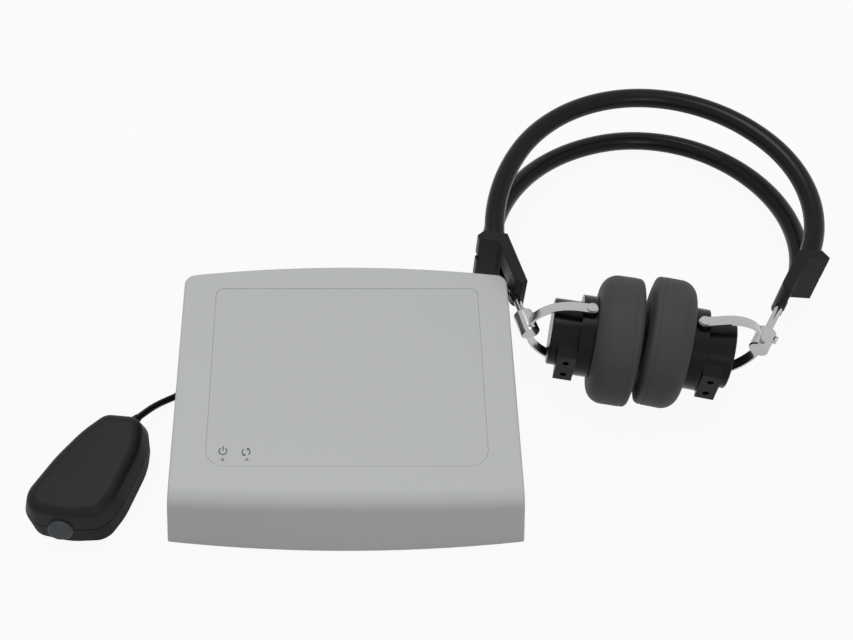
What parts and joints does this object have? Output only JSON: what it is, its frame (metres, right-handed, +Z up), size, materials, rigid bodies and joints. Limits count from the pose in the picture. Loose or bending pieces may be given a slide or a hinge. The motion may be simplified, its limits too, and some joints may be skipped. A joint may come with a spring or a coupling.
{
  "type": "diagnostic audiometer",
  "caption": "Flat desk-top hearing tester with a wired hand switch and a headset of parallel-tube band and padded earphones on sliding rods.",
  "frame": {"origin": "bottom centre of the box round everything but the free cord, its hank and plug", "axes": "+X along the row from the switch past the unit to the headset, +Y from the user to the rear, +Z up"},
  "size_m": [0.408, 0.2647, 0.066],
  "materials": {
    "cover_grey": "fine matt texture",
    "panel_grey": "smooth matt film",
    "case_dark": "fine matt texture",
    "switch_black": "fine matt texture",
    "button_grey": "satin",
    "clear": "clear",
    "lamp": "milky",
    "board_green": "solder mask",
    "chip_black": "moulded",
    "steel": "plated",
    "chrome": "polished",
    "black_rubber": "matt",
    "cord_black": "smooth",
    "vinyl_black": "satin",
    "bracket_black": "satin",
    "bush_black": "smooth",
    "ear_black": "satin",
    "cushion_rubber": "powdery matt"
  },
  "bodies": {
    "audiometer": {"top_cover": "cover_grey", "base": "case_dark", "inlay_panel": "panel_grey", "light_pipes": "clear", "indicator_leds": "lamp", "main_board": "board_green", "usb_socket": "steel", "left_phone_socket": "chip_black", "right_phone_socket": "chip_black", "bone_socket": "chip_black", "response_socket": "chip_black", "socket_nuts": "steel", "signal_shield": "steel", "board_chips": "chip_black", "board_screws": "steel", "case_screws": "steel", "rubber_feet": "black_rubber", "switch_upper_shell": "switch_black", "switch_lower_shell": "switch_black", "button_spring": "steel", "micro_switch": "chip_black", "switch_screws": "steel", "cord_relief": "cord_black", "cord_run": "cord_black", "cord_hank": "cord_black", "hank_tie": "cord_black", "cord_tail": "cord_black", "response_plug": "cord_black", "left_tubes": "vinyl_black", "left_wires": "steel", "left_bracket": "bracket_black", "left_bush": "bush_black"},
    "button": {"button": "button_grey"},
    "crown": {"crown_tubes": "vinyl_black", "crown_wires": "steel"},
    "right_side": {"right_tubes": "vinyl_black", "right_wires": "steel", "right_bracket": "bracket_black", "right_bush": "bush_black"},
    "left_slider": {"left_rod": "chrome"},
    "left_swivel_end": {"left_rod_end": "chrome", "left_rod_screw": "chrome", "left_yoke": "chrome", "left_pins": "chrome"},
    "left_earphone": {"left_case": "ear_black", "left_back_cap": "ear_black", "left_terminals": "ear_black", "left_driver": "steel", "left_cushion": "cushion_rubber"},
    "right_slider": {"right_rod": "chrome"},
    "right_swivel_end": {"right_rod_end": "chrome", "right_rod_screw": "chrome", "right_yoke": "chrome", "right_pins": "chrome"},
    "right_earphone": {"right_case": "ear_black", "right_back_cap": "ear_black", "right_terminals": "ear_black", "right_driver": "steel", "right_cushion": "cushion_rubber"}
  },
  "joints": [
    {"name": "button_press", "type": "slide", "parent": "audiometer", "child": "button", "axis": [0, 0.9397, -0.342], "range_m": [0, 0.0016], "stiffness_N_per_m": 400},
    {"name": "band_spread", "type": "hinge", "parent": "audiometer", "child": "crown", "pos_m": [0.07343, 0.12174, 0.033], "axis": [0, 0, 1], "range_deg": [0, 14]},
    {"name": "band_spread_right", "type": "hinge", "parent": "crown", "child": "right_side", "pos_m": [0.16683, 0.11795, 0.033], "axis": [0, 0, 1], "range_deg": [0, 14]},
    {"name": "left_rod_slide", "type": "slide", "parent": "audiometer", "child": "left_slider", "axis": [-0.2588, 0.9659, 0], "range_m": [0, 0.0065]},
    {"name": "left_yoke_swivel", "type": "hinge", "parent": "left_slider", "child": "left_swivel_end", "pos_m": [0.04323, -0.02367, 0.033], "axis": [0.2588, -0.9659, 0], "range_deg": [0, 7]},
    {"name": "left_earphone_tilt", "type": "hinge", "parent": "left_swivel_end", "child": "left_earphone", "pos_m": [0.07176, -0.02885, 0.033], "axis": [0, 0, 1], "range_deg": [0, 15]},
    {"name": "right_rod_slide", "type": "slide", "parent": "right_side", "child": "right_slider", "axis": [0.515, 0.8572, 0], "range_m": [0, 0.016]},
    {"name": "right_yoke_swivel", "type": "hinge", "parent": "right_slider", "child": "right_swivel_end", "pos_m": [0.16022, -0.03389, 0.033], "axis": [0.515, 0.8572, 0], "range_deg": [0, 7]},
    {"name": "right_earphone_tilt", "type": "hinge", "parent": "right_swivel_end", "child": "right_earphone", "pos_m": [0.12606, -0.03665, 0.033], "axis": [0, 0, 1], "range_deg": [0, 15]}
  ],
  "couplings": [
    {"joint": "band_spread_right", "follows": "band_spread", "ratio": 1},
    {"joint": "left_yoke_swivel", "follows": "band_spread", "ratio": 0.5},
    {"joint": "right_yoke_swivel", "follows": "band_spread", "ratio": 0.5},
    {"joint": "right_earphone_tilt", "follows": "left_earphone_tilt", "ratio": 1}
  ]
}
